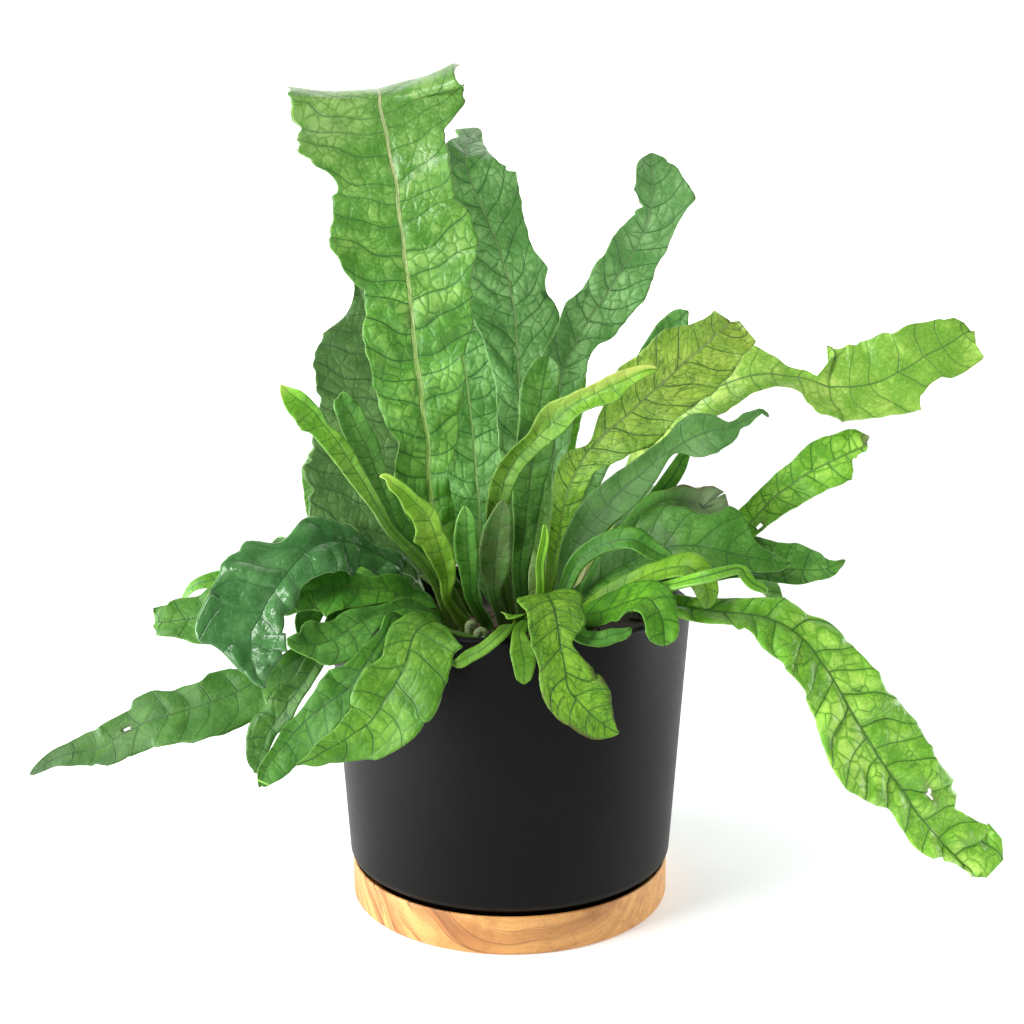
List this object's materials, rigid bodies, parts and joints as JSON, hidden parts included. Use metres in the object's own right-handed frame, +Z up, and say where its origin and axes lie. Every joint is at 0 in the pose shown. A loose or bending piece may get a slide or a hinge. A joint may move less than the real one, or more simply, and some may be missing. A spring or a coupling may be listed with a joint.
{
  "type": "potted fern",
  "caption": "Crocodile fern with puckered strap fronds in a tapered matte dark ceramic pot, standing on a turned wooden saucer.",
  "frame": {"origin": "middle of the saucer's underside", "axes": "+Z up, along the pot's axis; the side shown in the picture looks along -Y, with +X to its right"},
  "size_m": [0.4307, 0.3185, 0.4072],
  "materials": {
    "pot_ceramic": "matte",
    "saucer_wood": "satin",
    "potting_soil": "matte",
    "rhizome": "matte",
    "leaf_mid": "satin",
    "leaf_bright": "satin",
    "leaf_yellow": "satin",
    "leaf_net": "satin",
    "leaf_deep": "gloss",
    "leaf_dusk": "satin"
  },
  "bodies": {
    "root": {"saucer": "saucer_wood", "pot": "pot_ceramic", "soil": "potting_soil", "rhizome_mat": "rhizome", "frond_tall_front": "leaf_mid", "frond_tall_behind": "leaf_deep", "frond_tall_right": "leaf_deep", "frond_back_left": "leaf_dusk", "frond_mid_behind": "leaf_deep", "frond_spoon": "leaf_mid", "frond_yellow_curl": "leaf_yellow", "frond_net_yellow": "leaf_net", "frond_behind_net": "leaf_deep", "frond_long_right": "leaf_bright", "frond_dark_wave": "leaf_deep", "frond_short_strip": "leaf_bright", "frond_purple_ruffle": "leaf_dusk", "frond_broad_right": "leaf_mid", "frond_toothed_right": "leaf_bright", "frond_low_right": "leaf_mid", "frond_folded_right": "leaf_mid", "frond_loop_right": "leaf_yellow", "frond_finger_right": "leaf_bright", "frond_elbow_front": "leaf_bright", "frond_long_droop": "leaf_bright", "frond_front_hang": "leaf_net", "frond_bright_lobe_left": "leaf_yellow", "frond_bright_lobe_right": "leaf_yellow", "frond_rim_dark": "leaf_deep", "frond_left_bright": "leaf_bright", "frond_left_round": "leaf_mid", "frond_left_curl": "leaf_yellow", "frond_big_dark_left": "leaf_deep", "frond_far_left": "leaf_mid", "frond_far_left_small": "leaf_bright", "frond_left_green": "leaf_mid", "frond_left_lower": "leaf_deep", "frond_long_left": "leaf_mid", "frond_low_left": "leaf_mid", "frond_low_left_broad": "leaf_mid", "frond_front_left_big": "leaf_bright", "frond_heart_grey": "leaf_mid", "frond_heart_finger": "leaf_yellow", "frond_heart_brown": "leaf_dusk", "frond_heart_low": "leaf_yellow", "frond_back_tall": "leaf_deep", "frond_back_arch_left": "leaf_mid", "frond_back_arch_right": "leaf_mid", "frond_back_middle": "leaf_bright", "frond_back_low_left": "leaf_mid", "frond_back_low_right": "leaf_mid", "frond_back_side_left": "leaf_mid", "frond_back_side_right": "leaf_mid", "frond_back_upright": "leaf_bright"}
  },
  "joints": []
}
